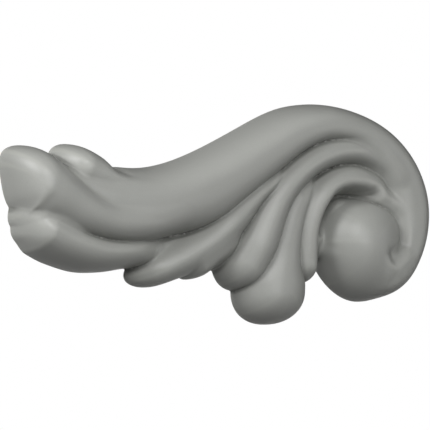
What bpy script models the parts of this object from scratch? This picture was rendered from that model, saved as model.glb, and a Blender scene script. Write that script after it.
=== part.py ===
"""Scroll onlay: a cast acanthus scroll with a flat back, made to be fixed to a panel.

The front is a relief. Its height over the flat back is a formula: each lobe is
a ridge that follows a curved path, and neighbouring ridges meet in a groove.
X runs to the right, Z up, and the front faces -Y. The back lies at Y = 0.
"""

import bmesh
import bpy
import numpy as np

MM = 0.001

# The finished piece in mm. The relief below is drawn at about this size and fitted to it.
SCROLL_LENGTH = 199.2
SCROLL_DEPTH = 25.8
SCROLL_HEIGHT = 91.8

# Sheet that the relief is drawn on, its cells, and the plate behind it, in mm.
SHEET_LENGTH = 212.0
SHEET_HEIGHT = 104.0
SHEET_CELL = 0.8
PLATE_DEPTH = 4.0
VOXEL = 0.9
TRIANGLE_SHARE = 0.063

# Ridge rows: x, z, crest height, half width left of its run, half width right of it, in mm.
# The stem swells from the left end and rises to the top of the volute.
STEM = [
    (-90.0, 14.0, 18.0, 9.0, 9.0),
    (-75.0, 12.0, 19.6, 10.0, 12.5),
    (-60.0, 7.6, 21.5, 11.6, 12.0),
    (-46.0, 5.0, 22.5, 14.5, 13.5),
    (-29.5, 5.4, 23.3, 14.1, 15.5),
    (-11.0, 10.8, 23.7, 13.2, 17.5),
    (5.4, 18.3, 23.7, 12.5, 14.2),
    (20.3, 26.6, 23.3, 11.5, 11.8),
    (33.6, 33.4, 23.0, 10.4, 9.6),
]
# The volute carries the stem round the eye: angle in degrees, crest height, half widths.
EYE_X = 66.8
EYE_Z = -13.3
VOLUTE_RADIUS = 14.3
VOLUTE_GROWTH = 0.2
VOLUTE_START = 20.0
VOLUTE_EASE = 50.0
VOLUTE = [
    (112.0, 22.6, 9.2, 8.0),
    (97.0, 22.2, 9.1, 7.4),
    (81.0, 21.8, 9.2, 8.4),
    (63.0, 21.3, 9.2, 12.5),
    (43.0, 20.9, 9.2, 15.0),
    (23.0, 20.6, 9.0, 15.5),
    (-1.0, 20.4, 8.6, 15.5),
    (-28.0, 20.4, 8.3, 14.0),
    (-59.0, 19.0, 7.6, 13.0),
    (-84.0, 13.0, 7.2, 15.0),
]
# Three ridges end at the cut left end: the middle, the upper and the lower one.
MIDDLE_RIDGE = [
    (-99.4, 13.6, 25.8, 14.2, 14.2),
    (-91.7, 14.2, 25.8, 14.5, 14.6),
    (-83.4, 10.8, 25.8, 12.8, 14.0),
    (-75.5, 6.0, 25.3, 11.4, 12.4),
    (-66.8, 1.3, 24.8, 10.6, 11.5),
    (-57.0, -1.7, 24.0, 10.4, 11.0),
    (-46.0, -2.5, 23.6, 10.8, 10.8),
    (-33.6, -0.8, 22.8, 10.8, 10.8),
    (-21.0, 3.7, 22.0, 10.8, 11.6),
    (-8.7, 10.0, 20.7, 10.0, 10.8),
]
UPPER_RIDGE = [
    (-77.8, 21.6, 20.8, 8.3, 9.0),
    (-70.0, 20.8, 20.8, 8.5, 12.0),
    (-61.8, 17.8, 20.8, 7.9, 12.0),
    (-53.5, 14.2, 20.8, 5.0, 11.0),
    (-44.4, 12.0, 20.6, 5.2, 9.0),
    (-21.0, 12.4, 19.5, 7.0, 9.0),
]
LOWER_RIDGE = [
    (-94.9, -5.0, 21.6, 8.0, 6.2),
    (-90.5, -5.6, 21.6, 8.5, 7.6),
    (-85.0, -7.2, 21.6, 8.5, 9.8),
    (-76.0, -10.0, 21.6, 8.0, 11.0),
    (-66.0, -13.3, 21.2, 7.0, 10.6),
    (-54.4, -15.0, 20.0, 6.6, 9.2),
    (-43.0, -14.4, 17.5, 6.6, 8.3),
    (-31.0, -13.4, 12.0, 6.6, 8.3),
    (-20.0, -11.6, 8.0, 6.6, 8.3),
]
# The low fill between the middle and the lower ridge, and the web behind the fingers.
END_FILL = [
    (-95.4, 3.4, 18.6, 9.0, 9.6),
    (-84.0, 0.0, 18.0, 9.0, 9.0),
    (-72.0, -4.5, 15.0, 7.0, 7.0),
    (-64.0, -7.4, 12.0, 5.0, 5.0),
]
WEB = [
    (-37.8, -20.0, 10.0, 7.5, 5.0),
    (-13.0, -13.0, 12.0, 8.0, 9.0),
    (8.0, -11.0, 12.5, 12.0, 14.0),
    (28.6, -11.0, 12.5, 17.0, 15.3),
    (49.4, -0.4, 12.5, 21.0, 15.0),
    (70.0, 6.0, 12.5, 25.0, 25.0),
    (78.4, -2.5, 13.0, 21.0, 25.0),
]
# The fingers fan out below the stem. The second one starts inside the volute.
FIRST_FINGER = [
    (35.0, 22.4, 19.0, 4.0, 4.0),
    (22.8, 15.0, 19.5, 6.5, 4.4),
    (14.5, 9.0, 20.0, 7.0, 5.8),
    (3.3, -1.7, 20.0, 9.6, 8.2),
    (-6.2, -10.0, 19.0, 9.5, 8.3),
    (-15.0, -15.4, 17.6, 10.0, 8.7),
    (-24.0, -20.0, 16.0, 8.7, 8.3),
    (-33.0, -23.8, 13.4, 7.4, 7.2),
    (-41.2, -26.4, 10.5, 6.2, 6.2),
]
FIRST_FINGER_LOBE = [
    (8.7, -3.3, 16.0, 4.6, 5.0),
    (-0.4, -13.0, 16.6, 6.4, 7.0),
    (-8.0, -18.8, 15.6, 6.6, 7.4),
    (-15.4, -26.0, 12.6, 5.0, 6.0),
]
SECOND_FINGER = [
    (84.2, 8.0, 16.0, 6.6, 6.0),
    (78.4, 17.4, 18.4, 7.4, 6.8),
    (70.0, 23.2, 20.0, 6.6, 9.0),
    (54.4, 26.0, 21.2, 7.2, 10.2),
    (40.0, 21.2, 21.2, 7.6, 9.2),
    (32.8, 16.2, 21.2, 8.4, 9.4),
    (23.2, 4.6, 21.2, 9.4, 9.8),
    (16.4, -10.8, 20.8, 11.4, 11.2),
    (10.3, -23.7, 17.8, 10.8, 11.0),
    (6.9, -31.0, 16.6, 9.4, 9.8),
]
THIRD_FINGER = [
    (46.0, 17.6, 12.0, 4.0, 4.0),
    (41.6, 13.6, 15.0, 6.0, 6.0),
    (34.9, 5.4, 18.2, 8.6, 8.6),
    (29.5, -10.8, 18.2, 10.2, 10.2),
    (27.4, -20.0, 19.2, 12.0, 12.2),
    (26.5, -29.5, 19.5, 15.4, 16.6),
    (26.5, -46.0, 18.3, 15.4, 16.6),
]
FOURTH_FINGER = [
    (83.0, -5.0, 12.0, 5.0, 5.0),
    (81.4, -0.6, 17.0, 6.0, 5.0),
    (76.0, 5.6, 18.7, 6.8, 5.4),
    (69.0, 10.6, 19.8, 7.0, 8.4),
    (57.7, 13.6, 20.0, 7.4, 9.4),
    (47.6, 8.8, 20.0, 6.8, 8.8),
    (41.0, -2.5, 19.0, 5.8, 9.4),
    (39.6, -19.0, 17.8, 5.8, 9.4),
    (40.6, -29.4, 16.0, 5.6, 6.4),
]
# The eye is a boss: its centre, its reach left, right, up and down, and its height.
BOSS_X = 65.4
BOSS_Z = -12.0
BOSS_REACH = (19.4, 23.2, 20.6, 24.6)
BOSS_SLANT = 0.22
BOSS_HEIGHT = 25.0
# Groove rows: x, z, depth, half width left of its run, half width right of it, in mm.
EYE_HOLLOW = [
    (46.4, -6.0, 3.0, 2.4, 2.4),
    (49.0, 1.0, 6.0, 2.6, 2.2),
    (54.0, 7.0, 6.5, 3.0, 2.2),
    (61.0, 7.8, 6.5, 3.0, 2.2),
    (68.0, 7.8, 4.0, 3.0, 2.2),
]
EYE_CREASE = [
    (73.0, 5.2, 0.2, 1.6, 1.4),
    (80.6, -1.5, 0.6, 1.6, 1.4),
    (82.0, -8.0, 1.2, 1.8, 1.6),
    (80.4, -14.4, 2.2, 2.4, 2.2),
    (75.6, -17.6, 2.8, 3.2, 3.2),
]
# Section of each ridge: taper at its start and at its end in mm, fullness, squareness (0 to 1) of the tips.
STEM_SECTION = (10.0, 14.0, 2.7, 0.0)
MIDDLE_SECTION = (13.0, 25.0, 2.5, 0.6)
END_FILL_SECTION = (9.0, 8.0, 2.2, 0.5)
UPPER_SECTION = (12.0, 20.0, 2.2, 0.3)
LOWER_SECTION = (11.0, 20.0, 2.1, 0.6)
WEB_SECTION = (6.6, 12.5, 3.0, 0.0)
FIRST_SECTION = (20.0, 13.0, 2.1, 0.0)
LOBE_SECTION = (12.0, 8.0, 2.2, 0.0)
SECOND_SECTION = (10.0, 10.8, 2.1, 0.0)
THIRD_SECTION = (10.0, 14.0, 2.2, 0.0)
FOURTH_SECTION = (12.0, 9.0, 2.3, 0.0)
# Softness of the valleys in mm. A changing one has: softness, what is added, from x, over this length.
MIDDLE_VALLEY = 2.0
END_FILL_VALLEY = 9.0
UPPER_VALLEY = 1.7
LOWER_VALLEY = (2.2, 8.0, -62.0, -20.0)
WEB_VALLEY = 2.6
FOURTH_VALLEY = (1.0, 6.0, 56.0, 20.0)
FIRST_VALLEY = 1.8
LOBE_VALLEY = 4.5
SECOND_VALLEY = (1.3, 6.0, 46.0, 30.0)
THIRD_VALLEY = (1.0, 4.0, 35.0, 12.0)
EYE_VALLEY = (0.6, 12.0, -10.0, -8.0)
HOLLOW_TAPER = (4.0, 4.0)
CREASE_TAPER = (2.0, 3.0)


def clear_scene():
    """Empty the file of its starting objects."""
    for item in list(bpy.data.objects):
        bpy.data.objects.remove(item, do_unlink=True)


def volute_rows():
    """The volute's rows: a spiral that keeps near the eye, then opens at a steady rate."""
    rows = []
    for angle, height, left, right in VOLUTE:
        beyond = angle - VOLUTE_START
        radius = VOLUTE_RADIUS + VOLUTE_GROWTH * (beyond + np.hypot(beyond, VOLUTE_EASE))
        x = EYE_X + radius * np.cos(np.radians(angle))
        z = EYE_Z + radius * np.sin(np.radians(angle))
        rows.append((x, z, height, left, right))
    return rows


def even_change(at, knots, values):
    """Values that pass smoothly from row to row and never swing past a row's own value."""
    span = np.diff(knots)
    slope = np.diff(values) / span
    product = slope[:-1] * slope[1:]
    total = slope[:-1] + slope[1:]
    middle = np.where(product > 0.0, 2.0 * product / np.where(total == 0.0, 1.0, total), 0.0)
    slopes = np.concatenate([[slope[0]], middle, [slope[-1]]])
    i = np.clip(np.searchsorted(knots, at, "right") - 1, 0, len(span) - 1)
    t = (at - knots[i]) / span[i]
    rise = t * t * (3.0 - 2.0 * t)
    value = values[i] + (values[i + 1] - values[i]) * rise
    value += span[i] * slopes[i] * t * (1.0 - t) ** 2
    return value - span[i] * slopes[i + 1] * t * t * (1.0 - t)


def curve_through(rows, count=140):
    """A natural cubic through the rows' points, and the sizes along it."""
    rows = np.asarray(rows, float)
    points = rows[:, :2]
    knots = np.concatenate([[0.0], np.cumsum(np.linalg.norm(np.diff(points, axis=0), axis=1))])
    last = len(knots) - 1
    span = np.diff(knots)
    slope = np.diff(points, axis=0) / span[:, None]
    system = np.eye(last + 1)
    target = np.zeros((last + 1, 2))
    for i in range(1, last):
        system[i, i - 1:i + 2] = span[i - 1], 2.0 * (span[i - 1] + span[i]), span[i]
        target[i] = 6.0 * (slope[i] - slope[i - 1])
    bend = np.linalg.solve(system, target)
    at = np.linspace(0.0, knots[-1], count)
    i = np.clip(np.searchsorted(knots, at, "right") - 1, 0, last - 1)
    width = span[i][:, None]
    before = (at - knots[i])[:, None]
    after = (knots[i + 1] - at)[:, None]
    curve = (bend[i] * after**3 + bend[i + 1] * before**3) / (6.0 * width)
    curve += (points[i] / width - bend[i] * width / 6.0) * after
    curve += (points[i + 1] / width - bend[i + 1] * width / 6.0) * before
    sizes = [even_change(at, knots, rows[:, column]) for column in range(2, rows.shape[1])]
    return curve, np.stack(sizes, axis=1)


def follow(curve, x, z):
    """How far along the curve each point lies, and how far to the left of it."""
    run = np.gradient(curve, axis=0)
    run /= np.linalg.norm(run, axis=1, keepdims=True)
    length = np.concatenate([[0.0], np.cumsum(np.linalg.norm(np.diff(curve, axis=0), axis=1))])
    turn = np.gradient(np.unwrap(np.arctan2(run[:, 1], run[:, 0]))) / np.gradient(length)
    nearest = np.empty(x.size, int)
    for first in range(0, x.size, 20000):
        part = slice(first, first + 20000)
        gap_x = x[part, None] - curve[:, 0]
        gap_z = z[part, None] - curve[:, 1]
        nearest[part] = (gap_x**2 + gap_z**2).argmin(axis=1)
    gap_x = x - curve[nearest, 0]
    gap_z = z - curve[nearest, 1]
    ahead = gap_x * run[nearest, 0] + gap_z * run[nearest, 1]
    side = run[nearest, 0] * gap_z - run[nearest, 1] * gap_x
    bend = turn[nearest]
    stretch = np.clip(1.0 - bend * side, 0.35, 3.0)
    past_start = (nearest == 0) & (ahead < 0.0)
    past_end = (nearest == len(curve) - 1) & (ahead > 0.0)
    outside = past_start | past_end
    along = length[nearest] + np.where(outside, ahead, ahead / stretch)
    across = np.where(outside, side, side - 0.5 * bend * ahead**2 / stretch)
    return along, across, length


def ridge(x, z, rows, start, end, fullness, squareness):
    """Squared height of a ridge: highest on its path, and zero at its half width and ends."""
    curve, sizes = curve_through(rows)
    reach = 1.9 * sizes[:, 1:].max()
    near = (x > curve[:, 0].min() - reach) & (x < curve[:, 0].max() + reach)
    near &= (z > curve[:, 1].min() - reach) & (z < curve[:, 1].max() + reach)
    along, across, length = follow(curve, x[near], z[near])
    inside = np.clip(along, 0.0, length[-1])
    height = np.interp(inside, length, sizes[:, 0])
    left = np.interp(inside, length, sizes[:, 1])
    right = np.interp(inside, length, sizes[:, 2])
    side = np.abs(across) / np.where(across > 0.0, left, right)
    tip = np.maximum(0.0, np.maximum(1.0 - along / start, 1.0 - (length[-1] - along) / end))
    fall = side**fullness
    end_fall = tip**fullness
    corner = squareness * np.minimum(fall, 1.0) * np.minimum(end_fall, 1.0)
    squared = np.full(x.shape, -1.0e4)
    squared[near] = height**2 * (1.0 - fall - end_fall + corner)
    return squared


def boss(x, z):
    """Squared height of the eye: a mound with its own reach on each side, steep at its top."""
    left, right, up, down = BOSS_REACH
    above = np.maximum(z - BOSS_Z, 0.0) / up
    below = np.minimum(z - BOSS_Z, 0.0) / down
    across = x - BOSS_X + BOSS_SLANT * down * below
    across = across / np.where(across < 0.0, left, right)
    return BOSS_HEIGHT**2 * (1.0 - across**2 - above**2.4 - below**2)


def join(first, second, soft):
    """The higher of two squared heights, rounded over about soft mm where they meet."""
    top = np.maximum(first, second)
    blend = 2.0 * np.sqrt(np.maximum(top, 4.0)) * soft
    return top + np.maximum(blend - np.abs(first - second), 0.0) ** 2 / (4.0 * blend)


def groove(squared, x, z, rows, start=4.0, end=4.0):
    """Lower the relief along a path, as a round gouge does."""
    curve, sizes = curve_through(rows)
    along, across, length = follow(curve, x, z)
    inside = np.clip(along, 0.0, length[-1])
    depth = np.interp(inside, length, sizes[:, 0])
    left = np.interp(inside, length, sizes[:, 1])
    right = np.interp(inside, length, sizes[:, 2])
    side = across / np.where(across > 0.0, left, right)
    past = np.maximum(0.0, np.maximum(-along / start, (along - length[-1]) / end))
    height = np.sqrt(np.maximum(squared, 0.0))
    cut = height - depth * np.exp(-side**2 - 2.0 * past**2)
    return np.where(squared > 0.0, np.maximum(cut, 0.3 * height) ** 2, squared)


def ease(value):
    """A smooth step from 0 to 1."""
    value = np.clip(value, 0.0, 1.0)
    return value * value * (3.0 - 2.0 * value)


def changing(places, valley):
    """A softness that grows smoothly along a stretch of places."""
    softness, added, start, length = valley
    return softness + added * ease((places - start) / length)


def relief(x, z):
    """Squared height of the whole front in square mm, negative outside the outline."""
    squared = ridge(x, z, STEM + volute_rows(), *STEM_SECTION)
    squared = join(squared, ridge(x, z, MIDDLE_RIDGE, *MIDDLE_SECTION), MIDDLE_VALLEY)
    squared = join(squared, ridge(x, z, END_FILL, *END_FILL_SECTION), END_FILL_VALLEY)
    squared = join(squared, ridge(x, z, UPPER_RIDGE, *UPPER_SECTION), UPPER_VALLEY)
    squared = join(squared, ridge(x, z, LOWER_RIDGE, *LOWER_SECTION), changing(x, LOWER_VALLEY))
    squared = join(squared, ridge(x, z, WEB, *WEB_SECTION), WEB_VALLEY)
    squared = join(squared, ridge(x, z, FOURTH_FINGER, *FOURTH_SECTION), changing(x, FOURTH_VALLEY))
    squared = join(squared, ridge(x, z, FIRST_FINGER, *FIRST_SECTION), FIRST_VALLEY)
    squared = join(squared, ridge(x, z, FIRST_FINGER_LOBE, *LOBE_SECTION), LOBE_VALLEY)
    squared = join(squared, ridge(x, z, SECOND_FINGER, *SECOND_SECTION), changing(x, SECOND_VALLEY))
    squared = join(squared, ridge(x, z, THIRD_FINGER, *THIRD_SECTION), changing(x, THIRD_VALLEY))
    squared = join(squared, boss(x, z), changing(z, EYE_VALLEY))
    squared = groove(squared, x, z, EYE_HOLLOW, *HOLLOW_TAPER)
    squared = groove(squared, x, z, EYE_CREASE, *CREASE_TAPER)
    return squared


def new_object(name, mesh, collection):
    """Put a mesh into the scene as an object."""
    item = bpy.data.objects.new(name, mesh)
    collection.objects.link(item)
    return item


def relief_sheet(collection):
    """A flat grid raised to the relief and closed behind by a plate."""
    mesh = bpy.data.meshes.new("relief_sheet")
    shape = bmesh.new()
    columns = round(SHEET_LENGTH / SHEET_CELL)
    rows = round(SHEET_HEIGHT / SHEET_CELL)
    bmesh.ops.create_grid(shape, x_segments=columns, y_segments=rows, size=0.5)
    places = np.array([vert.co[:] for vert in shape.verts])
    x = places[:, 0] * SHEET_LENGTH
    z = places[:, 1] * SHEET_HEIGHT
    squared = relief(x, z)
    height = np.where(squared > 0.0, np.sqrt(np.abs(squared)), -PLATE_DEPTH * 0.5)
    for vert, px, py, pz in zip(shape.verts, x, -height, z):
        vert.co = (px * MM, py * MM, pz * MM)
    border = [edge for edge in shape.edges if edge.is_boundary]
    wall = bmesh.ops.extrude_edge_only(shape, edges=border)["geom"]
    for part in wall:
        if isinstance(part, bmesh.types.BMVert):
            part.co.y = PLATE_DEPTH * MM
    rim = [part for part in wall if isinstance(part, bmesh.types.BMEdge) and part.is_boundary]
    bmesh.ops.holes_fill(shape, edges=rim, sides=0)
    bmesh.ops.recalc_face_normals(shape, faces=shape.faces)
    shape.to_mesh(mesh)
    shape.free()
    return new_object("relief_sheet", mesh, collection)


def applied(item, collection, name):
    """The object's evaluated mesh as a new object. The old one is removed."""
    bpy.context.view_layer.update()
    evaluated = item.evaluated_get(bpy.context.evaluated_depsgraph_get())
    mesh = bpy.data.meshes.new_from_object(evaluated)
    bpy.data.objects.remove(item, do_unlink=True)
    return new_object(name, mesh, collection)


def settle(mesh):
    """Move each point of the front along its normal direction until it lies on the relief."""
    places = np.empty(len(mesh.vertices) * 3)
    mesh.vertices.foreach_get("co", places)
    places = places.reshape(-1, 3) / MM
    step = 0.05
    for _ in range(4):
        front = places[:, 1] < 0.6
        x, y, z = places[front].T
        value = relief(x, z) - y**2
        slope_x = (relief(x + step, z) - relief(x - step, z)) / (2.0 * step)
        slope_z = (relief(x, z + step) - relief(x, z - step)) / (2.0 * step)
        slope = np.stack([slope_x, -2.0 * y, slope_z], axis=1)
        steep = np.maximum((slope**2).sum(axis=1), 16.0)
        move = -slope * (value / steep)[:, None]
        far = np.maximum(np.linalg.norm(move, axis=1, keepdims=True) / 0.4, 1.0)
        places[front] += move / far
    mesh.vertices.foreach_set("co", (places * MM).ravel())
    mesh.update()


def cut_flat_back(mesh):
    """Cut the plate away at Y = 0 and close the back with one flat face."""
    shape = bmesh.new()
    shape.from_mesh(mesh)
    everything = shape.verts[:] + shape.edges[:] + shape.faces[:]
    bmesh.ops.bisect_plane(
        shape, geom=everything, dist=1.0e-7, plane_co=(0, 0, 0), plane_no=(0, 1, 0), clear_outer=True
    )
    for vert in shape.verts:
        if abs(vert.co.y) < 1.0e-6:
            vert.co.y = 0.0
    bmesh.ops.remove_doubles(shape, verts=[v for v in shape.verts if v.co.y == 0.0], dist=5.0e-5)
    rim = [edge for edge in shape.edges if edge.is_boundary]
    bmesh.ops.holes_fill(shape, edges=rim, sides=0)
    bmesh.ops.recalc_face_normals(shape, faces=shape.faces)
    shape.to_mesh(mesh)
    shape.free()


def fit_to_size(mesh):
    """Stretch the piece about the middle of its back until it has its own three sizes."""
    places = np.empty(len(mesh.vertices) * 3)
    mesh.vertices.foreach_get("co", places)
    places = places.reshape(-1, 3)
    drawn = places.max(axis=0) - places.min(axis=0)
    places *= np.array([SCROLL_LENGTH, SCROLL_DEPTH, SCROLL_HEIGHT]) * MM / drawn
    mesh.vertices.foreach_set("co", places.ravel())
    mesh.update()


def primed_resin():
    """Cast resin under grey primer."""
    material = bpy.data.materials.new("primed_resin")
    material.use_nodes = True
    surface = material.node_tree.nodes["Principled BSDF"]
    surface.inputs["Base Color"].default_value = (0.36, 0.36, 0.34, 1.0)
    surface.inputs["Roughness"].default_value = 0.5
    surface.inputs["Metallic"].default_value = 0.0
    return material


def main():
    clear_scene()
    collection = bpy.data.collections.new("scroll_onlay")
    bpy.context.scene.collection.children.link(collection)
    item = relief_sheet(collection)
    even = item.modifiers.new("even_faces", "REMESH")
    even.mode = "VOXEL"
    even.voxel_size = VOXEL * MM
    item = applied(item, collection, "relief_body")
    settle(item.data)
    softer = item.modifiers.new("softer_grooves", "SMOOTH")
    softer.factor = 0.5
    softer.iterations = 3
    fewer = item.modifiers.new("fewer_faces", "DECIMATE")
    fewer.ratio = TRIANGLE_SHARE
    item = applied(item, collection, "scroll_onlay")
    cut_flat_back(item.data)
    fit_to_size(item.data)
    item.data.materials.append(primed_resin())
    item.data.shade_smooth()
    item.data.set_sharp_from_angle(angle=np.radians(40.0))


main()
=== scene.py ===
# %% [markdown]
# # A cast acanthus scroll
# The piece is an onlay: a carved leaf scroll with a flat back, to be glued to a frame,
# a door or a drawer front. It is taken to be cast in resin and sprayed with grey primer.
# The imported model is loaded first. It fixes the size of everything that follows.

import bmesh
import bpy
import numpy as np
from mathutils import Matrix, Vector


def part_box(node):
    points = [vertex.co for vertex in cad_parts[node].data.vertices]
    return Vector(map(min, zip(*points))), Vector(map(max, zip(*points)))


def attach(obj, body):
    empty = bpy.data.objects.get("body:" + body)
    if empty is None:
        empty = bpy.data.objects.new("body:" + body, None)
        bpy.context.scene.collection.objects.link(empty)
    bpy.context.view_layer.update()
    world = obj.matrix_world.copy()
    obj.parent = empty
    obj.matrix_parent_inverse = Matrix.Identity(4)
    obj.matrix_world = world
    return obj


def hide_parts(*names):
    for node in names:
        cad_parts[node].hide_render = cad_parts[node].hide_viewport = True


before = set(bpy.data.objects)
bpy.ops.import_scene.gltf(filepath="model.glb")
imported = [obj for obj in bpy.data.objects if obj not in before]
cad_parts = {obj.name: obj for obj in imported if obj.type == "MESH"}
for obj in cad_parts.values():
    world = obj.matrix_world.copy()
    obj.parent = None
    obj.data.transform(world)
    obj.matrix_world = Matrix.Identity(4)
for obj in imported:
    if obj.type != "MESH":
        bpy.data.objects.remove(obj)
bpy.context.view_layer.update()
NODE = "scroll_onlay"
box_low, box_high = (Vector(corner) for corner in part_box(NODE))
size = box_high - box_low
print("packed size in mm:", [round(side * 1000.0, 1) for side in size])

# %% [markdown]
# ## Units
# The formulas work in millimetres, as a carver would, and one factor takes them to
# metres at the end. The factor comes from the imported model: its length against the
# length that the ridge rows below were drawn for.

# %% Units
DRAWN_LENGTH = 199.2
MM = size.x / DRAWN_LENGTH
print("one drawn mm in metres:", round(MM, 7))

# %% [markdown]
# ## The ridges
# A leaf scroll is carved as a bundle of round ridges that start together and fan out.
# Each ridge is written as a few rows along its crest: where the crest runs, how high it
# stands over the back, and how wide the ridge is on either hand. A row is placed only
# where the ridge bends or swells, and a smooth curve does the rest.

# %% Ridge rows
# Ridge rows: x, z, crest height, half width left of its run, half width right of it, in mm.
# The stem swells from the left end and rises to the top of the volute.
STEM = [
    (-90.0, 14.0, 18.0, 9.0, 9.0),
    (-75.0, 12.0, 19.6, 10.0, 12.5),
    (-60.0, 7.6, 21.5, 11.6, 12.0),
    (-46.0, 5.0, 22.5, 14.5, 13.5),
    (-29.5, 5.4, 23.3, 14.1, 15.5),
    (-11.0, 10.8, 23.7, 13.2, 17.5),
    (5.4, 18.3, 23.7, 12.5, 14.2),
    (20.3, 26.6, 23.3, 11.5, 11.8),
    (33.6, 33.4, 23.0, 10.4, 9.6),
]
# The volute carries the stem round the eye on a spiral: its centre, the radius that it
# keeps near the eye, half of what it opens by in mm a degree, and, in degrees, where it
# starts to open and how gently.
EYE_X = 66.8
EYE_Z = -13.3
VOLUTE_RADIUS = 14.3
VOLUTE_GROWTH = 0.2
VOLUTE_START = 20.0
VOLUTE_EASE = 50.0
# Volute rows: angle in degrees, crest height, half width left and right of the run, in mm.
VOLUTE = [
    (112.0, 22.6, 9.2, 8.0),
    (97.0, 22.2, 9.1, 7.4),
    (81.0, 21.8, 9.2, 8.4),
    (63.0, 21.3, 9.2, 12.5),
    (43.0, 20.9, 9.2, 15.0),
    (23.0, 20.6, 9.0, 15.5),
    (-1.0, 20.4, 8.6, 15.5),
    (-28.0, 20.4, 8.3, 14.0),
    (-59.0, 19.0, 7.6, 13.0),
    (-84.0, 13.0, 7.2, 15.0),
]
# Three ridges end at the cut left end: the middle, the upper and the lower one.
MIDDLE_RIDGE = [
    (-99.4, 13.6, 25.8, 14.2, 14.2),
    (-91.7, 14.2, 25.8, 14.5, 14.6),
    (-83.4, 10.8, 25.8, 12.8, 14.0),
    (-75.5, 6.0, 25.3, 11.4, 12.4),
    (-66.8, 1.3, 24.8, 10.6, 11.5),
    (-57.0, -1.7, 24.0, 10.4, 11.0),
    (-46.0, -2.5, 23.6, 10.8, 10.8),
    (-33.6, -0.8, 22.8, 10.8, 10.8),
    (-21.0, 3.7, 22.0, 10.8, 11.6),
    (-8.7, 10.0, 20.7, 10.0, 10.8),
]
UPPER_RIDGE = [
    (-77.8, 21.6, 20.8, 8.3, 9.0),
    (-70.0, 20.8, 20.8, 8.5, 12.0),
    (-61.8, 17.8, 20.8, 7.9, 12.0),
    (-53.5, 14.2, 20.8, 5.0, 11.0),
    (-44.4, 12.0, 20.6, 5.2, 9.0),
    (-21.0, 12.4, 19.5, 7.0, 9.0),
]
LOWER_RIDGE = [
    (-94.9, -5.0, 21.6, 8.0, 6.2),
    (-90.5, -5.6, 21.6, 8.5, 7.6),
    (-85.0, -7.2, 21.6, 8.5, 9.8),
    (-76.0, -10.0, 21.6, 8.0, 11.0),
    (-66.0, -13.3, 21.2, 7.0, 10.6),
    (-54.4, -15.0, 20.0, 6.6, 9.2),
    (-43.0, -14.4, 17.5, 6.6, 8.3),
    (-31.0, -13.4, 12.0, 6.6, 8.3),
    (-20.0, -11.6, 8.0, 6.6, 8.3),
]
# The low fill between the middle and the lower ridge, and the web behind the fingers.
END_FILL = [
    (-95.4, 3.4, 18.6, 9.0, 9.6),
    (-84.0, 0.0, 18.0, 9.0, 9.0),
    (-72.0, -4.5, 15.0, 7.0, 7.0),
    (-64.0, -7.4, 12.0, 5.0, 5.0),
]
WEB = [
    (-37.8, -20.0, 10.0, 7.5, 5.0),
    (-13.0, -13.0, 12.0, 8.0, 9.0),
    (8.0, -11.0, 12.5, 12.0, 14.0),
    (28.6, -11.0, 12.5, 17.0, 15.3),
    (49.4, -0.4, 12.5, 21.0, 15.0),
    (70.0, 6.0, 12.5, 25.0, 25.0),
    (78.4, -2.5, 13.0, 21.0, 25.0),
]
# The fingers fan out below the stem. The second one starts inside the volute.
FIRST_FINGER = [
    (35.0, 22.4, 19.0, 4.0, 4.0),
    (22.8, 15.0, 19.5, 6.5, 4.4),
    (14.5, 9.0, 20.0, 7.0, 5.8),
    (3.3, -1.7, 20.0, 9.6, 8.2),
    (-6.2, -10.0, 19.0, 9.5, 8.3),
    (-15.0, -15.4, 17.6, 10.0, 8.7),
    (-24.0, -20.0, 16.0, 8.7, 8.3),
    (-33.0, -23.8, 13.4, 7.4, 7.2),
    (-41.2, -26.4, 10.5, 6.2, 6.2),
]
FIRST_FINGER_LOBE = [
    (8.7, -3.3, 16.0, 4.6, 5.0),
    (-0.4, -13.0, 16.6, 6.4, 7.0),
    (-8.0, -18.8, 15.6, 6.6, 7.4),
    (-15.4, -26.0, 12.6, 5.0, 6.0),
]
SECOND_FINGER = [
    (84.2, 8.0, 16.0, 6.6, 6.0),
    (78.4, 17.4, 18.4, 7.4, 6.8),
    (70.0, 23.2, 20.0, 6.6, 9.0),
    (54.4, 26.0, 21.2, 7.2, 10.2),
    (40.0, 21.2, 21.2, 7.6, 9.2),
    (32.8, 16.2, 21.2, 8.4, 9.4),
    (23.2, 4.6, 21.2, 9.4, 9.8),
    (16.4, -10.8, 20.8, 11.4, 11.2),
    (10.3, -23.7, 17.8, 10.8, 11.0),
    (6.9, -31.0, 16.6, 9.4, 9.8),
]
THIRD_FINGER = [
    (46.0, 17.6, 12.0, 4.0, 4.0),
    (41.6, 13.6, 15.0, 6.0, 6.0),
    (34.9, 5.4, 18.2, 8.6, 8.6),
    (29.5, -10.8, 18.2, 10.2, 10.2),
    (27.4, -20.0, 19.2, 12.0, 12.2),
    (26.5, -29.5, 19.5, 15.4, 16.6),
    (26.5, -46.0, 18.3, 15.4, 16.6),
]
FOURTH_FINGER = [
    (83.0, -5.0, 12.0, 5.0, 5.0),
    (81.4, -0.6, 17.0, 6.0, 5.0),
    (76.0, 5.6, 18.7, 6.8, 5.4),
    (69.0, 10.6, 19.8, 7.0, 8.4),
    (57.7, 13.6, 20.0, 7.4, 9.4),
    (47.6, 8.8, 20.0, 6.8, 8.8),
    (41.0, -2.5, 19.0, 5.8, 9.4),
    (39.6, -19.0, 17.8, 5.8, 9.4),
    (40.6, -29.4, 16.0, 5.6, 6.4),
]
# The eye is a boss: its centre, its reach left, right, up and down, its slant below the
# centre, its height, and the power that its section above the centre has.
BOSS_X = 65.4
BOSS_Z = -12.0
BOSS_REACH = (19.4, 23.2, 20.6, 24.6)
BOSS_SLANT = 0.22
BOSS_HEIGHT = 25.0
BOSS_TOP_POWER = 2.4
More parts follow.
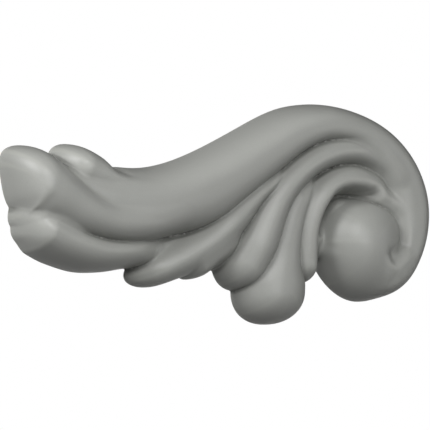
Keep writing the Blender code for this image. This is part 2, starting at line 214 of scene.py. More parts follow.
# Groove rows: x, z, depth, half width left of its run, half width right of it, in mm.
EYE_HOLLOW = [
    (46.4, -6.0, 3.0, 2.4, 2.4),
    (49.0, 1.0, 6.0, 2.6, 2.2),
    (54.0, 7.0, 6.5, 3.0, 2.2),
    (61.0, 7.8, 6.5, 3.0, 2.2),
    (68.0, 7.8, 4.0, 3.0, 2.2),
]
EYE_CREASE = [
    (73.0, 5.2, 0.2, 1.6, 1.4),
    (80.6, -1.5, 0.6, 1.6, 1.4),
    (82.0, -8.0, 1.2, 1.8, 1.6),
    (80.4, -14.4, 2.2, 2.4, 2.2),
    (75.6, -17.6, 2.8, 3.2, 3.2),
]
# Section of each ridge: taper at its start and at its end in mm, fullness, and the
# squareness of its tips from 0 to 1.
STEM_SECTION = (10.0, 14.0, 2.7, 0.0)
MIDDLE_SECTION = (13.0, 25.0, 2.5, 0.6)
END_FILL_SECTION = (9.0, 8.0, 2.2, 0.5)
UPPER_SECTION = (12.0, 20.0, 2.2, 0.3)
LOWER_SECTION = (11.0, 20.0, 2.1, 0.6)
WEB_SECTION = (6.6, 12.5, 3.0, 0.0)
FIRST_SECTION = (20.0, 13.0, 2.1, 0.0)
LOBE_SECTION = (12.0, 8.0, 2.2, 0.0)
SECOND_SECTION = (10.0, 10.8, 2.1, 0.0)
THIRD_SECTION = (10.0, 14.0, 2.2, 0.0)
FOURTH_SECTION = (12.0, 9.0, 2.3, 0.0)
# Softness of the valleys in mm. One that changes along x has four values: softness, what
# is added, where the change starts, and over what length. The eye's changes along z.
MIDDLE_VALLEY = 2.0
END_FILL_VALLEY = 9.0
UPPER_VALLEY = 1.7
LOWER_VALLEY = (2.2, 8.0, -62.0, -20.0)
WEB_VALLEY = 2.6
FOURTH_VALLEY = (1.0, 6.0, 56.0, 20.0)
FIRST_VALLEY = 1.8
LOBE_VALLEY = 4.5
SECOND_VALLEY = (1.3, 6.0, 46.0, 30.0)
THIRD_VALLEY = (1.0, 4.0, 35.0, 12.0)
EYE_VALLEY = (0.6, 12.0, -10.0, -8.0)
# How fast each gouge cut runs out at its start and at its end, in mm.
HOLLOW_TAPER = (4.0, 4.0)
CREASE_TAPER = (2.0, 3.0)

END_RIDGES = [MIDDLE_RIDGE, UPPER_RIDGE, LOWER_RIDGE, END_FILL]
FINGERS = [FIRST_FINGER, FIRST_FINGER_LOBE, SECOND_FINGER, THIRD_FINGER, FOURTH_FINGER]
ALL_RIDGES = [STEM + VOLUTE] + END_RIDGES + [WEB] + FINGERS
print("ridges:", len(ALL_RIDGES), "with rows:", sum(len(rows) for rows in ALL_RIDGES))

# %% [markdown]
# ## The spiral and the smooth path
# The volute is a spiral: its radius is a function of the angle, nearly level round the
# eye and opening towards the stem. The other crests are natural cubic curves through
# their rows, which bend as a thin wooden batten does.

# %% Spiral and curve
def volute_rows():
    """The volute's rows: a spiral that keeps near the eye, then opens at a steady rate."""
    rows = []
    for angle, height, left, right in VOLUTE:
        beyond = angle - VOLUTE_START
        radius = VOLUTE_RADIUS + VOLUTE_GROWTH * (beyond + np.hypot(beyond, VOLUTE_EASE))
        x = EYE_X + radius * np.cos(np.radians(angle))
        z = EYE_Z + radius * np.sin(np.radians(angle))
        rows.append((x, z, height, left, right))
    return rows


def even_change(at, knots, values):
    """Values that pass smoothly from row to row and never swing past a row's own value.

    Each stretch is a cubic. Its slope at a row is the harmonic mean of the two straight
    slopes that meet there, or zero where they have opposite signs.
    """
    span = np.diff(knots)
    slope = np.diff(values) / span
    product = slope[:-1] * slope[1:]
    total = slope[:-1] + slope[1:]
    middle = np.where(product > 0.0, 2.0 * product / np.where(total == 0.0, 1.0, total), 0.0)
    slopes = np.concatenate([[slope[0]], middle, [slope[-1]]])
    i = np.clip(np.searchsorted(knots, at, "right") - 1, 0, len(span) - 1)
    t = (at - knots[i]) / span[i]
    rise = t * t * (3.0 - 2.0 * t)
    value = values[i] + (values[i + 1] - values[i]) * rise
    value += span[i] * slopes[i] * t * (1.0 - t) ** 2
    return value - span[i] * slopes[i + 1] * t * t * (1.0 - t)


def curve_through(rows, count=140):
    """A natural cubic through the rows' points, and the sizes along it."""
    rows = np.asarray(rows, float)
    points = rows[:, :2]
    knots = np.concatenate([[0.0], np.cumsum(np.linalg.norm(np.diff(points, axis=0), axis=1))])
    last = len(knots) - 1
    span = np.diff(knots)
    slope = np.diff(points, axis=0) / span[:, None]
    system = np.eye(last + 1)
    target = np.zeros((last + 1, 2))
    for i in range(1, last):
        system[i, i - 1:i + 2] = span[i - 1], 2.0 * (span[i - 1] + span[i]), span[i]
        target[i] = 6.0 * (slope[i] - slope[i - 1])
    bend = np.linalg.solve(system, target)
    at = np.linspace(0.0, knots[-1], count)
    i = np.clip(np.searchsorted(knots, at, "right") - 1, 0, last - 1)
    width = span[i][:, None]
    before = (at - knots[i])[:, None]
    after = (knots[i + 1] - at)[:, None]
    curve = (bend[i] * after**3 + bend[i + 1] * before**3) / (6.0 * width)
    curve += (points[i] / width - bend[i] * width / 6.0) * after
    curve += (points[i + 1] / width - bend[i + 1] * width / 6.0) * before
    sizes = [even_change(at, knots, rows[:, column]) for column in range(2, rows.shape[1])]
    return curve, np.stack(sizes, axis=1)


# %% [markdown]
# ## One ridge
# Every point of the back is measured against the crest's path: how far along it lies
# and how far to one side. A ridge could be a pipe laid along the path, but carved
# ridges are flatter on top and steeper at the flank, so the section is a superellipse.
# Working with the squared height keeps the flank upright where it meets the back.

# %% Follow a path
PLACES_AT_A_TIME = 20000
# On the inner side of a bend the path's steps crowd together, and on the outer side they
# spread. These are the limits.
LEAST_STRETCH = 0.35
MOST_STRETCH = 3.0
# A ridge isn't worked out farther away than this many of its widest half width.
RIDGE_REACH = 1.9
FAR_BELOW = -1.0e4


def follow(curve, x, z):
    """How far along the curve each point lies, and how far to the left of it."""
    run = np.gradient(curve, axis=0)
    run /= np.linalg.norm(run, axis=1, keepdims=True)
    length = np.concatenate([[0.0], np.cumsum(np.linalg.norm(np.diff(curve, axis=0), axis=1))])
    turn = np.gradient(np.unwrap(np.arctan2(run[:, 1], run[:, 0]))) / np.gradient(length)
    nearest = np.empty(x.size, int)
    for first in range(0, x.size, PLACES_AT_A_TIME):
        part = slice(first, first + PLACES_AT_A_TIME)
        gap_x = x[part, None] - curve[:, 0]
        gap_z = z[part, None] - curve[:, 1]
        nearest[part] = (gap_x**2 + gap_z**2).argmin(axis=1)
    gap_x = x - curve[nearest, 0]
    gap_z = z - curve[nearest, 1]
    ahead = gap_x * run[nearest, 0] + gap_z * run[nearest, 1]
    side = run[nearest, 0] * gap_z - run[nearest, 1] * gap_x
    bend = turn[nearest]
    stretch = np.clip(1.0 - bend * side, LEAST_STRETCH, MOST_STRETCH)
    past_start = (nearest == 0) & (ahead < 0.0)
    past_end = (nearest == len(curve) - 1) & (ahead > 0.0)
    outside = past_start | past_end
    along = length[nearest] + np.where(outside, ahead, ahead / stretch)
    across = np.where(outside, side, side - 0.5 * bend * ahead**2 / stretch)
    return along, across, length


def ridge(x, z, rows, start, end, fullness, squareness):
    """Squared height of a ridge: highest on its path, and zero at its half width and ends.

    It is height squared times one, less side and tip, each to the power of the fullness,
    plus their product times the squareness. Side is the way across as a share of the half
    width, and tip is the way into the taper as a share of it.
    """
    curve, sizes = curve_through(rows)
    reach = RIDGE_REACH * sizes[:, 1:].max()
    near = (x > curve[:, 0].min() - reach) & (x < curve[:, 0].max() + reach)
    near &= (z > curve[:, 1].min() - reach) & (z < curve[:, 1].max() + reach)
    along, across, length = follow(curve, x[near], z[near])
    inside = np.clip(along, 0.0, length[-1])
    height = np.interp(inside, length, sizes[:, 0])
    left = np.interp(inside, length, sizes[:, 1])
    right = np.interp(inside, length, sizes[:, 2])
    side = np.abs(across) / np.where(across > 0.0, left, right)
    tip = np.maximum(0.0, np.maximum(1.0 - along / start, 1.0 - (length[-1] - along) / end))
    fall = side**fullness
    end_fall = tip**fullness
    corner = squareness * np.minimum(fall, 1.0) * np.minimum(end_fall, 1.0)
    squared = np.full(x.shape, FAR_BELOW)
    squared[near] = height**2 * (1.0 - fall - end_fall + corner)
    return squared


def boss(x, z):
    """Squared height of the eye: a mound with its own reach on each side, fuller above."""
    left, right, up, down = BOSS_REACH
    above = np.maximum(z - BOSS_Z, 0.0) / up
    below = np.minimum(z - BOSS_Z, 0.0) / down
    across = x - BOSS_X + BOSS_SLANT * down * below
    across = across / np.where(across < 0.0, left, right)
    return BOSS_HEIGHT**2 * (1.0 - across**2 - above**BOSS_TOP_POWER - below**2)


# %% [markdown]
# ## Joining the ridges
# Where two ridges meet, the carver's gouge leaves a valley. A sharp valley is the
# higher of the two surfaces. A soft one is the same with the corner rounded over
# a few mm. That one number sets how crisp each groove of the leaf looks.

# %% Join and cut
# Below this height in mm a valley's softness is measured as at this height.
LOWEST_VALLEY = 2.0
# A gouge leaves at least this share of the height.
LEAST_LEFT = 0.3


def join(first, second, soft):
    """The higher of two squared heights, rounded over about soft mm where they meet."""
    top = np.maximum(first, second)
    blend = 2.0 * np.sqrt(np.maximum(top, LOWEST_VALLEY**2)) * soft
    return top + np.maximum(blend - np.abs(first - second), 0.0) ** 2 / (4.0 * blend)


def groove(squared, x, z, rows, start, end):
    """Lower the relief along a path, as a round gouge does.

    The cut is its depth times a bell curve across the path, and it runs out the same way
    past the path's two ends.
    """
    curve, sizes = curve_through(rows)
    along, across, length = follow(curve, x, z)
    inside = np.clip(along, 0.0, length[-1])
    depth = np.interp(inside, length, sizes[:, 0])
    left = np.interp(inside, length, sizes[:, 1])
    right = np.interp(inside, length, sizes[:, 2])
    side = across / np.where(across > 0.0, left, right)
    past = np.maximum(0.0, np.maximum(-along / start, (along - length[-1]) / end))
    height = np.sqrt(np.maximum(squared, 0.0))
    cut = height - depth * np.exp(-side**2 - 2.0 * past**2)
    return np.where(squared > 0.0, np.maximum(cut, LEAST_LEFT * height) ** 2, squared)


def ease(value):
    """A smooth step from 0 to 1."""
    value = np.clip(value, 0.0, 1.0)
    return value * value * (3.0 - 2.0 * value)


def changing(places, valley):
    """A softness that grows smoothly along a stretch of places."""
    softness, added, start, length = valley
    return softness + added * ease((places - start) / length)


# %% [markdown]
# ## The whole front
# The stem and volute come first, as the longest ridge. Then come the three ridges of
# the cut left end, the low web behind the fingers, the fingers themselves and the round
# eye inside the volute. The two gouge cuts beside the eye are made last.

# %% The relief
def relief(x, z):
    """Squared height of the whole front in square mm, negative outside the outline."""
    squared = ridge(x, z, STEM + volute_rows(), *STEM_SECTION)
    squared = join(squared, ridge(x, z, MIDDLE_RIDGE, *MIDDLE_SECTION), MIDDLE_VALLEY)
    squared = join(squared, ridge(x, z, END_FILL, *END_FILL_SECTION), END_FILL_VALLEY)
    squared = join(squared, ridge(x, z, UPPER_RIDGE, *UPPER_SECTION), UPPER_VALLEY)
    squared = join(squared, ridge(x, z, LOWER_RIDGE, *LOWER_SECTION), changing(x, LOWER_VALLEY))
    squared = join(squared, ridge(x, z, WEB, *WEB_SECTION), WEB_VALLEY)
    squared = join(squared, ridge(x, z, FOURTH_FINGER, *FOURTH_SECTION), changing(x, FOURTH_VALLEY))
    squared = join(squared, ridge(x, z, FIRST_FINGER, *FIRST_SECTION), FIRST_VALLEY)
    squared = join(squared, ridge(x, z, FIRST_FINGER_LOBE, *LOBE_SECTION), LOBE_VALLEY)
    squared = join(squared, ridge(x, z, SECOND_FINGER, *SECOND_SECTION), changing(x, SECOND_VALLEY))
    squared = join(squared, ridge(x, z, THIRD_FINGER, *THIRD_SECTION), changing(x, THIRD_VALLEY))
    squared = join(squared, boss(x, z), changing(z, EYE_VALLEY))
    squared = groove(squared, x, z, EYE_HOLLOW, *HOLLOW_TAPER)
    squared = groove(squared, x, z, EYE_CREASE, *CREASE_TAPER)
    return squared


# %% [markdown]
# ## Reading the relief quickly
# The formula is smooth, so it is worked out once on a fine grid of places. Between
# four grid places it is read in proportion to how near each one is.

# %% The relief on a grid
# The sheet has the outline inside it with a little to spare, in mm.
SHEET_LENGTH = 212.0
SHEET_HEIGHT = 104.0
GRID_STEP = 0.2


def grid_places(step):
    """The x and z values of a grid over the whole sheet, as two square arrays."""
    along = np.arange(-SHEET_LENGTH / 2.0, SHEET_LENGTH / 2.0 + 0.5 * step, step)
    up = np.arange(-SHEET_HEIGHT / 2.0, SHEET_HEIGHT / 2.0 + 0.5 * step, step)
    return np.meshgrid(along, up, indexing="ij")


fine_x, fine_z = grid_places(GRID_STEP)
fine_relief = relief(fine_x.ravel(), fine_z.ravel()).reshape(fine_x.shape)


def surface(x, z):
    """The squared height at each place, read from the grid."""
    column = np.clip((x + SHEET_LENGTH / 2.0) / GRID_STEP, 0.0, fine_x.shape[0] - 1.001)
    row = np.clip((z + SHEET_HEIGHT / 2.0) / GRID_STEP, 0.0, fine_x.shape[1] - 1.001)
    i, j = column.astype(int), row.astype(int)
    a, b = column - i, row - j
    low = fine_relief[i, j] * (1.0 - a) + fine_relief[i + 1, j] * a
    high = fine_relief[i, j + 1] * (1.0 - a) + fine_relief[i + 1, j + 1] * a
    return low * (1.0 - b) + high * b


print("highest point in mm:", round(float(np.sqrt(fine_relief.max())), 2))

# %% [markdown]
# ## A body from the formula
# A height drawn on a flat grid gives long stretched faces on the steep flanks. So the
# grid is only a start: it is closed behind with a plate and remeshed into even cells.
# Each point is then moved along the slope of the formula until it lies on the surface,
# which is Newton's method on whole arrays. The back is cut flat at the end.

# %% Grid, plate and mesh
# In mm: the cells of the first sheet, the plate's depth, and the cells of the even mesh.
SHEET_CELL = 0.5
PLATE_DEPTH = 4.0
VOXEL = 0.58


def mesh_object(name, points, faces):
    """A mesh object from arrays of points in mm and of corner numbers."""
    mesh = bpy.data.meshes.new(name)
    mesh.from_pydata(points * MM, [], faces)
    item = bpy.data.objects.new(name, mesh)
    bpy.context.scene.collection.objects.link(item)
    return item


def quads(numbers):
    """Four corners for each cell of a grid of point numbers."""
    corners = (numbers[:-1, :-1], numbers[1:, :-1], numbers[1:, 1:], numbers[:-1, 1:])
    return np.stack(corners, axis=-1).reshape(-1, 4)


def relief_block():
    """The front is y = -sqrt(relief(x, z)), and a flat plate closes it behind."""
    x, z = grid_places(SHEET_CELL)
    squared = surface(x.ravel(), z.ravel())
    y = np.where(squared > 0.0, -np.sqrt(np.abs(squared)), PLATE_DEPTH / 2.0)
    front = np.stack([x.ravel(), y, z.ravel()], axis=1)
    back = np.stack([x.ravel(), np.full(x.size, PLATE_DEPTH), z.ravel()], axis=1)
    numbers = np.arange(x.size).reshape(x.shape)
    ring = np.concatenate([numbers[:-1, 0], numbers[-1, :-1], numbers[:0:-1, -1], numbers[0, ::-1]])
    wall = np.stack([ring, ring + x.size])
    faces = np.concatenate([quads(numbers), quads(numbers)[:, ::-1] + x.size, quads(wall)])
    return mesh_object("relief_block", np.concatenate([front, back]), faces)


def even_cells(item):
    """The block remeshed into cells of one size, as a new mesh. The block is removed."""
    even = item.modifiers.new("even_cells", "REMESH")
    even.mode = "VOXEL"
    even.voxel_size = VOXEL * MM
    bpy.context.view_layer.update()
    evaluated = item.evaluated_get(bpy.context.evaluated_depsgraph_get())
    mesh = bpy.data.meshes.new_from_object(evaluated)
    bpy.data.objects.remove(item, do_unlink=True)
    return mesh


def read_points(mesh):
    """The mesh's points in mm."""
    points = np.empty(len(mesh.vertices) * 3)
    mesh.vertices.foreach_get("co", points)
    return points.reshape(-1, 3) / MM


def write_points(mesh, points):
    """Put points in mm back into the mesh."""
    mesh.vertices.foreach_set("co", (points * MM).ravel())
    mesh.update()


mesh = even_cells(relief_block())
print("points after the even remesh:", len(mesh.vertices))

# %% [markdown]
# ## Settling on the surface
# The surface is where F = relief(x, z) - y * y is zero. Its slope points straight out
# of the surface, so one step of F over the slope's length nearly reaches it, and four
# short steps do. A real casting keeps the faint unevenness of the carver's rasp. It is
# added here as a few long waves under a tenth of a mm high, too low for the CAD solid.

# %% Settle
# In mm: the reach of a slope's measure, the longest move, how far behind the back a point
# may lie and still be drawn to the surface, and the last move of a settled point.
STEP = 0.3
LONGEST_MOVE = 0.4
FRONT_LIMIT = 0.6
SETTLED = 0.01
# The least slope that F is divided by, so that moves stay short where F is nearly level.
LEAST_SLOPE = 4.0
# The waves' height, and the height of relief over which they fade in, in mm.
UNEVENNESS = 0.035
FADE_IN = 6.0
# Each wave: its length along x and along z in mm, and its shift.
WAVES = [(14.0, 31.0, 0.3), (-23.0, 11.0, 1.9), (9.5, -17.0, 4.1), (37.0, 21.0, 2.6)]


def slope_of(x, y, z):
    """F and its slope at each point, by central differences."""
    value = surface(x, z) - y**2
    slope_x = (surface(x + STEP, z) - surface(x - STEP, z)) / (2.0 * STEP)
    slope_z = (surface(x, z + STEP) - surface(x, z - STEP)) / (2.0 * STEP)
    return value, np.stack([slope_x, -2.0 * y, slope_z], axis=1)


def settle(points, steps=4):
    """Newton steps: each moves a point by F over the slope's length. Gives the last step too."""
    for _ in range(steps):
        value, slope = slope_of(*points.T)
        steep = np.maximum((slope**2).sum(axis=1), LEAST_SLOPE**2)
        move = -slope * (value / steep)[:, None]
        length = np.linalg.norm(move, axis=1, keepdims=True)
        points = points + move / np.maximum(length / LONGEST_MOVE, 1.0)
    return points, length


def unevenness(points):
    """The sum of a few sine waves, each with a wave length along x and one along z."""
    x, y, z = points.T
    waves = [np.sin(2.0 * np.pi * (x / a + z / b) + shift) for a, b, shift in WAVES]
    return UNEVENNESS * sum(waves) * np.clip(-y / FADE_IN, 0.0, 1.0) / len(waves)


points = read_points(mesh)
front = points[:, 1] < FRONT_LIMIT
points[front], last_step = settle(points[front])
points[front, 1] -= unevenness(points[front])
write_points(mesh, points)
print("share of points settled to", SETTLED, "mm:", round(float((last_step < SETTLED).mean()), 4))

# %% [markdown]
# ## The flat back
# The resin is poured level with the mould's rim, so the back is one flat face. The
# plate is cut away at y = 0, and the cut is closed. The rim stays sharp, because it
# has to sit tight on the panel that it is glued to.

# %% Flat back
# In metres: how near the cut a point counts as on it, and how near two points are welded.
CUT_TOLERANCE = 1.0e-7
WELD_DISTANCE = 5.0e-5
# In mm: how near the back a point is laid on it.
ON_BACK = 0.001


def cut_flat_back(mesh):
    """Keep what lies in front of y = 0 and close the cut with a flat face."""
    shape = bmesh.new()
    shape.from_mesh(mesh)
    everything = shape.verts[:] + shape.edges[:] + shape.faces[:]
    cut = bmesh.ops.bisect_plane(
        shape,
        geom=everything,
        dist=CUT_TOLERANCE,
        plane_co=(0, 0, 0),
        plane_no=(0, 1, 0),
        clear_outer=True,
    )["geom_cut"]
    rim_points = [part for part in cut if isinstance(part, bmesh.types.BMVert)]
    bmesh.ops.remove_doubles(shape, verts=rim_points, dist=WELD_DISTANCE)
    rim = [edge for edge in shape.edges if edge.is_boundary]
    bmesh.ops.holes_fill(shape, edges=rim, sides=0)
    bmesh.ops.recalc_face_normals(shape, faces=shape.faces)
    shape.to_mesh(mesh)
    shape.free()


cut_flat_back(mesh)
points = read_points(mesh)
points[np.abs(points[:, 1]) < ON_BACK, 1] = 0.0
write_points(mesh, points)
triangles = sum(len(face.vertices) - 2 for face in mesh.polygons)
print("triangles of the scroll:", triangles)

# %% [markdown]
# ## Crests and hollows
# Painted shade darkens the grooves, which are also duller. The crests are painted paler,
# partly as primer rubbed thin and partly as painted highlight. The material needs to know
# which is which. A point is on a crest when it stands over both of two opposite places near
# it, and in a groove when it lies under both, so each point stores the most that it does so
# on four lines through it.

# %% Crests and hollows
# All in mm: the ring's radius, how far a point stands out on a full crest or lies under in
# a full hollow, and how far under it counts as in a hollow at all.
RING = 2.6
FULL_CREST = 0.9
FULL_HOLLOW = 2.4
SLIGHT_HOLLOW = 0.3


def height(x, z):
    """The height of the relief over the back in mm."""
    return np.sqrt(np.maximum(surface(x, z), 0.0))


def over_and_under(x, z):
    """How far each point stands over, and lies under, the two points opposite on a ring."""
    own = height(x, z)
    over = np.full(x.shape, -RING)
    under = np.zeros(x.shape)
    for angle in np.arange(4) * np.pi / 4.0:
        aside = RING * np.cos(angle)
        up = RING * np.sin(angle)
        ahead = height(x + aside, z + up)
        behind = height(x - aside, z - up)
        over = np.maximum(over, own - np.maximum(ahead, behind))
        under = np.maximum(under, np.minimum(ahead, behind) - own)
    return over, under


def store(mesh, name, values):
    """Keep one number per point under a name that a material can read."""
    layer = mesh.attributes.new(name, "FLOAT", "POINT")
    layer.data.foreach_set("value", values.astype(np.float32))


over, under = over_and_under(points[:, 0], points[:, 2])
# The hollow values drive painted shade, and the crest values a paler colour that is partly painted
# highlight.
store(mesh, "crest", np.clip(over / FULL_CREST, 0.0, 1.0))
store(mesh, "hollow", np.clip(under / FULL_HOLLOW, 0.0, 1.0))
print("share of points in hollows:", round(float((under > SLIGHT_HOLLOW).mean()), 3))

# %% [markdown]
# ## The scroll in the frame
# The mesh becomes one object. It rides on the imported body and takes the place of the
# plain solid. Its faces are shaded smooth. Only edges that bend by more than 50 degrees
# stay sharp, such as those of the rim round the back.

# %% The scroll
SHARP_BEND = 50.0

scroll = bpy.data.objects.new("scroll", mesh)
bpy.context.scene.collection.objects.link(scroll)
mesh.shade_smooth()
mesh.set_sharp_from_angle(angle=np.radians(SHARP_BEND))
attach(scroll, "root")
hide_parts(NODE)

# %% [markdown]
# ## The finish
# The photograph shows one even satin grey, nearly neutral with a little green. It is
# taken to be sanding primer sprayed on cast resin. The grain of such primer is finer
# than the render can show, so it is drawn at 0.5 mm. The back isn't seen in the
# photograph. It is made bare resin, rubbed flat, with fine straight scratches.

# %% Colour and nodes
def linear(hex_colour):
    """Turn an sRGB hex colour into the linear one that the shader takes."""
    parts = [int(hex_colour[i:i + 2], 16) / 255.0 for i in (1, 3, 5)]
    parts = [v / 12.92 if v <= 0.04045 else ((v + 0.055) / 1.055) ** 2.4 for v in parts]
    return (*parts, 1.0)


def add(tree, kind, links, **settings):
    """Add a node. Links gives each input, by name or number, a value or a socket."""
    node = tree.nodes.new(kind)
    for name, value in settings.items():
        setattr(node, name, value)
    for key, value in links.items():
        if isinstance(value, bpy.types.NodeSocket):
            tree.links.new(value, node.inputs[key])
        else:
            node.inputs[key].default_value = value
    return node


def per_mm(millimetres):
    """The texture scale that makes a pattern's features this many mm across."""
    return 1.0 / (millimetres * 0.001)


def scale_between(tree, value, low, high):
    """Spread a value that runs from 0 to 1 between two others."""
    return add(tree, "ShaderNodeMapRange", {0: value, 3: low, 4: high}).outputs[0]


# %% [markdown]
# ## The primer
# Wide clouds and a fine grain are laid over each other. Crests are a little paler, partly
# as primer rubbed thin and partly as painted highlight, and shinier. Hollows are duller,
# and painted shade darkens them. The resin of the back has its own colour and scratches,
# and one test of the place along y tells the two apart.

# %% The primer
PRIMER = "#a0a19d"
PRIMER_CLOUD = "#9b9c98"
# Painted shade: a darker grey laid into the hollows. The grain's fine specks use it too.
PAINTED_SHADE_AND_GRAIN = "#6f706c"
# Paler grey on the crests: partly primer rubbed thin, partly painted highlight.
PRIMER_RUBBED_AND_HIGHLIGHT = "#adaea8"
BARE_RESIN = "#b9b4a4"
BARE_RESIN_CLOUD = "#aca695"
# In mm: how wide the clouds, the patches of shine, the spray's ripple, the scratches and
# the grain are.
CLOUD = 34.0
SHINE = 7.0
RIPPLE = 2.4
SCRATCH = 0.7
GRAIN = 0.5
# Roughness of the primer from one patch to another, and what each place adds to it.
ROUGHNESS = (0.38, 0.46)
ROUGHER_HOLLOW = 0.14
ROUGHER_CREST = -0.05
ROUGHER_BACK = 0.12
# In metres: the back begins here, and the bumps of the grain and the ripple are this high.
BACK_BEGINS = -0.00015
GRAIN_BUMP = 0.00002
RIPPLE_BUMP = 0.00003


def primed_resin():
    """Grey primer over resin: painted shade darkens the hollows, which are also duller, and the
    crests are paler, partly rubbed primer and partly painted highlight.
    """
    material = bpy.data.materials.new("primed_resin")
    material.use_nodes = True
    tree = material.node_tree
    shader = tree.nodes["Principled BSDF"]
    place = add(tree, "ShaderNodeTexCoord", {}).outputs["Object"]
    crest = add(tree, "ShaderNodeAttribute", {}, attribute_name="crest").outputs["Fac"]
    hollow = add(tree, "ShaderNodeAttribute", {}, attribute_name="hollow").outputs["Fac"]

    def noise(width, detail=2.0, vector=place):
        """A noise with features of this many mm."""
        links = {"Vector": vector, "Scale": per_mm(width), "Detail": detail}
        return add(tree, "ShaderNodeTexNoise", links).outputs["Fac"]

    def mix(amount, first, second):
        """Blend two colours."""
        links = {0: amount, 6: first, 7: second}
        return add(tree, "ShaderNodeMix", links, data_type="RGBA").outputs[2]

    cloud = scale_between(tree, noise(CLOUD, 3.0), -0.4, 1.4)
    grain = noise(GRAIN, 1.0)
    colour = mix(cloud, linear(PRIMER), linear(PRIMER_CLOUD))
    # Painted shade: the deeper a hollow, the more its colour is darkened.
    colour = mix(scale_between(tree, hollow, 0.0, 0.8), colour, linear(PAINTED_SHADE_AND_GRAIN))
    # Crests made paler: partly primer rubbed thin, partly painted highlight.
    colour = mix(scale_between(tree, crest, 0.0, 0.45), colour, linear(PRIMER_RUBBED_AND_HIGHLIGHT))
    colour = mix(scale_between(tree, grain, -0.05, 0.14), colour, linear(PAINTED_SHADE_AND_GRAIN))

    axes = add(tree, "ShaderNodeSeparateXYZ", {0: place})
    behind = add(
        tree, "ShaderNodeMath", {0: axes.outputs["Y"], 1: BACK_BEGINS}, operation="GREATER_THAN"
    ).outputs[0]
    drawn_out = add(
        tree, "ShaderNodeMapping", {"Vector": place, "Rotation": (0, 0.5, 0), "Scale": (0.04, 1, 1)}
    ).outputs[0]
    scratch = noise(SCRATCH, 2.0, drawn_out)
    resin = mix(cloud, linear(BARE_RESIN), linear(BARE_RESIN_CLOUD))
    resin = mix(scale_between(tree, scratch, -0.3, 0.6), resin, linear(PRIMER))
    tree.links.new(mix(behind, colour, resin), shader.inputs["Base Color"])

    rough = scale_between(tree, noise(SHINE), *ROUGHNESS)
    for where, more in ((hollow, ROUGHER_HOLLOW), (crest, ROUGHER_CREST), (behind, ROUGHER_BACK)):
        links = {0: where, 1: more, 2: rough}
        rough = add(tree, "ShaderNodeMath", links, operation="MULTIPLY_ADD").outputs[0]
    tree.links.new(rough, shader.inputs["Roughness"])
    shader.inputs["IOR"].default_value = 1.5
    shader.inputs["Metallic"].default_value = 0.0

    level = add(tree, "ShaderNodeMix", {0: behind, 2: grain, 3: scratch}).outputs[0]
    fine = {"Height": level, "Distance": GRAIN_BUMP, "Strength": 0.6}
    normal = add(tree, "ShaderNodeBump", fine).outputs[0]
    broad = {"Height": noise(RIPPLE, 1.0), "Distance": RIPPLE_BUMP, "Strength": 0.5, "Normal": normal}
    normal = add(tree, "ShaderNodeBump", broad).outputs[0]
    tree.links.new(normal, shader.inputs["Normal"])
    return material


mesh.materials.clear()
mesh.materials.append(primed_resin())
print("finish:", mesh.materials[0].name)

# %% [markdown]
# ## The camera
# The photograph looks from 30 degrees to the left of straight on, level with the
# piece. Its lens is long, so that lines do not run together. A long lens far away
# gives the same. The photograph's width in pixels and the mm that each pixel shows on
# the piece give the width of the frame.

# %% Camera
LOOK_FROM = np.radians(-30.0)
PHOTO_PIXELS = 430
MM_PER_PIXEL = 0.415
FRAME_WIDTH = PHOTO_PIXELS * MM_PER_PIXEL * MM
LENS = 1400.0
SENSOR = 36.0
# The point of the piece that lies in the middle of the frame, in mm.
AIM_X = 2.5
AIM_Y = 0.0
AIM_Z = -0.4


def photo_camera():
    """A camera on a circle round the aim point, turned to face it."""
    data = bpy.data.cameras.new("photo_camera")
    data.lens = LENS
    data.sensor_width = SENSOR
    data.clip_end = 100.0
    distance = FRAME_WIDTH * LENS / SENSOR
    camera = bpy.data.objects.new("photo_camera", data)
    back = Vector((np.sin(LOOK_FROM), -np.cos(LOOK_FROM), 0.0))
    camera.location = Vector((AIM_X, AIM_Y, AIM_Z)) * MM + back * distance
    camera.rotation_mode = "QUATERNION"
    camera.rotation_quaternion = (-back).to_track_quat("-Z", "Y")
    bpy.context.scene.collection.objects.link(camera)
    bpy.context.scene.camera = camera
    return distance


print("camera distance in metres:", round(photo_camera(), 2))

# %% [markdown]
# ## Light and floor
# Soft lights stand round the piece as softboxes would: the key by the camera, a low one
# straight in front, a larger one on the left that models the ridges and the cut end, and
# a weak one on the right that lifts the volute's rim. One more stands behind for the
# flat back. None is below, because the undersides are dark in the photograph.

# %% Light
# Each light: azimuth and elevation in degrees, width in metres, power in watts.
LIGHTS = {
    "key_light": (-30.0, 25.0, 0.6, 8.0),
    "front_light": (-2.0, 6.0, 0.6, 5.0),
    "left_light": (-82.0, 29.0, 0.8, 14.5),
    "right_light": (50.0, 5.0, 0.7, 2.0),
    "back_light": (180.0, 4.0, 0.8, 9.0),
}
LIGHT_DISTANCE = 1.3
ROOM_LIGHT = 0.012


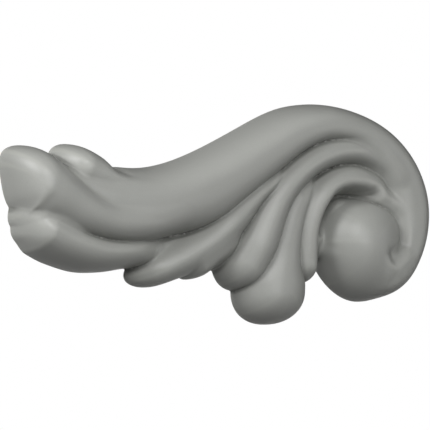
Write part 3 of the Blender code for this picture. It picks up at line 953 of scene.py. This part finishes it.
def soft_light(name, azimuth, elevation, width, power):
    """A square light of that width, aimed at the middle of the piece."""
    a, e = np.radians(azimuth), np.radians(elevation)
    outward = Vector((np.sin(a) * np.cos(e), -np.cos(a) * np.cos(e), np.sin(e)))
    data = bpy.data.lights.new(name, "AREA")
    data.shape = "SQUARE"
    data.size = width
    data.energy = power
    light = bpy.data.objects.new(name, data)
    light.location = (box_low + box_high) / 2.0 + outward * LIGHT_DISTANCE
    light.rotation_mode = "QUATERNION"
    light.rotation_quaternion = (-outward).to_track_quat("-Z", "Y")
    light.visible_camera = False
    bpy.context.scene.collection.objects.link(light)


def white_room():
    """A world that looks white but lights the piece only a little."""
    world = bpy.data.worlds.new("white_room")
    world.use_nodes = True
    tree = world.node_tree
    seen = add(tree, "ShaderNodeBackground", {"Color": (1, 1, 1, 1), "Strength": 1.0}).outputs[0]
    glow = tree.nodes["Background"]
    glow.inputs["Color"].default_value = (1, 1, 1, 1)
    glow.inputs["Strength"].default_value = ROOM_LIGHT
    ray = add(tree, "ShaderNodeLightPath", {}).outputs["Is Camera Ray"]
    both = add(tree, "ShaderNodeMixShader", {0: ray, 1: glow.outputs[0], 2: seen})
    tree.links.new(both.outputs[0], tree.nodes["World Output"].inputs["Surface"])
    bpy.context.scene.world = world


for name, facts in LIGHTS.items():
    soft_light(name, *facts)
white_room()
bpy.context.scene.view_settings.view_transform = "Standard"
print("soft lights:", len(LIGHTS))

# %% [markdown]
# ## The floor
# A wide pale disc lies well below the piece. It is hidden from diffuse rays, so that it
# throws no light up at the undersides, which are dark in the photograph.

# %% Floor
# In metres: how far below the piece the floor lies, and its radius.
FLOOR_DROP = 0.115
FLOOR_RADIUS = 1.2


def pale_floor():
    """A round pale floor below the piece, lower than the photograph's frame."""
    shape = bmesh.new()
    bmesh.ops.create_circle(shape, cap_ends=True, segments=96, radius=FLOOR_RADIUS)
    bmesh.ops.translate(shape, verts=shape.verts, vec=(0.0, 0.0, box_low.z - FLOOR_DROP))
    disc = bpy.data.meshes.new("pale_floor")
    shape.to_mesh(disc)
    shape.free()
    floor = bpy.data.objects.new("pale_floor", disc)
    bpy.context.scene.collection.objects.link(floor)
    floor.visible_diffuse = False
    material = bpy.data.materials.new("pale_floor")
    material.use_nodes = True
    shader = material.node_tree.nodes["Principled BSDF"]
    shader.inputs["Base Color"].default_value = linear("#f4f4f2")
    shader.inputs["Roughness"].default_value = 0.9
    disc.materials.append(material)


pale_floor()
